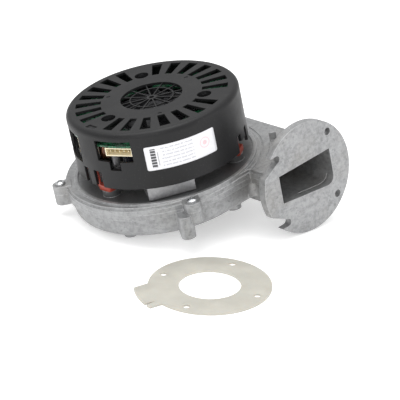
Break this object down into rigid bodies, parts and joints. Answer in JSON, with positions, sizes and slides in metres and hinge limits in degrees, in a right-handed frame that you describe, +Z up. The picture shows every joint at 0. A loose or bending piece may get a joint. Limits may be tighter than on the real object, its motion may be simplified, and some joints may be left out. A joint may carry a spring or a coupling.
{
  "type": "premix boiler blower",
  "caption": "Centrifugal gas blower: cast volute with a round outlet flange, motor on dampers under a vented round cover, and a loose outlet gasket.",
  "frame": {"origin": "centre of the inlet bore at the underside of the volute", "axes": "+Z up, square to the bench that the blower stands on with its outlet flange, -Y the way the outlet looks seen from above; the motor shaft leans 10.9 degrees off +Z"},
  "size_m": [0.2352, 0.2743, 0.1174],
  "materials": {
    "cast_lower": "die-cast aluminium, as cast, matte with fine grain",
    "cast_upper": "die-cast aluminium, as cast, matte with bright edges",
    "machined_aluminium": "die-cast aluminium, machined faces",
    "seal_rubber": "black moulded rubber",
    "zinc_steel": "zinc-plated steel, bright",
    "damper_silicone": "red-orange silicone rubber, satin",
    "bearing_steel": "ground bearing steel",
    "spring_steel": "blued spring steel",
    "core_steel": "laminated electrical steel",
    "insulator_plastic": "white moulded plastic",
    "copper_wire": "enamelled copper wire",
    "hub_brass": "turned brass",
    "cup_steel": "deep-drawn zinc-plated steel",
    "ferrite": "sintered ferrite",
    "fan_plastic": "black moulded plastic",
    "impeller_aluminium": "pressed aluminium sheet",
    "board_laminate": "green solder mask on glass laminate",
    "chip_plastic": "black moulded epoxy",
    "capacitor_sleeve": "black shrink sleeve",
    "choke_brown": "brown lacquered winding",
    "header_plastic": "cream moulded plastic",
    "pin_metal": "tinned brass",
    "cover_plastic": "black moulded plastic, finely textured",
    "label_film": null,
    "gasket_silicone": "warm light-grey silicone sheet, slightly translucent"
  },
  "bodies": {
    "housing": {"lower_housing": "cast_lower", "upper_housing": "cast_upper", "housing_seal": "seal_rubber", "housing_screws": "zinc_steel", "motor_carrier": "machined_aluminium", "silicone_dampers": "damper_silicone", "damper_screws": "zinc_steel", "heat_sink": "machined_aluminium", "earth_tab": "zinc_steel", "bearing_outer_races": "bearing_steel", "bearing_balls": "bearing_steel", "preload_spring": "spring_steel", "stator_core": "core_steel", "stator_insulator": "insulator_plastic", "stator_coils": "copper_wire", "shaft_seal": "seal_rubber", "circuit_board": "board_laminate", "board_chips": "chip_plastic", "board_capacitors": "capacitor_sleeve", "board_choke": "choke_brown", "signal_header": "header_plastic", "signal_pins": "pin_metal", "power_header": "header_plastic", "power_pins": "pin_metal", "motor_cover": "cover_plastic", "cover_screws": "zinc_steel", "rating_label": "label_film"},
    "rotor": {"bearing_inner_races": "bearing_steel", "motor_shaft": "bearing_steel", "retaining_ring": "spring_steel", "rotor_hub": "hub_brass", "rotor_cup": "cup_steel", "rotor_magnets": "ferrite", "cooling_fan": "fan_plastic", "impeller_hub": "impeller_aluminium", "impeller_back_disc": "impeller_aluminium", "impeller_blades": "impeller_aluminium", "impeller_front_disc": "impeller_aluminium", "impeller_clip": "spring_steel"},
    "gasket": {"outlet_gasket": "gasket_silicone"}
  },
  "joints": [
    {"name": "rotor_spin", "type": "hinge", "parent": "housing", "child": "rotor", "pos_m": [0, 0, 0], "axis": [-0.165, 0.0945, 0.9817], "continuous": true},
    {"name": "gasket_lift", "type": "slide", "parent": "housing", "child": "gasket", "axis": [0, -0.6, 0.8], "range_m": [0, 0.2]}
  ]
}
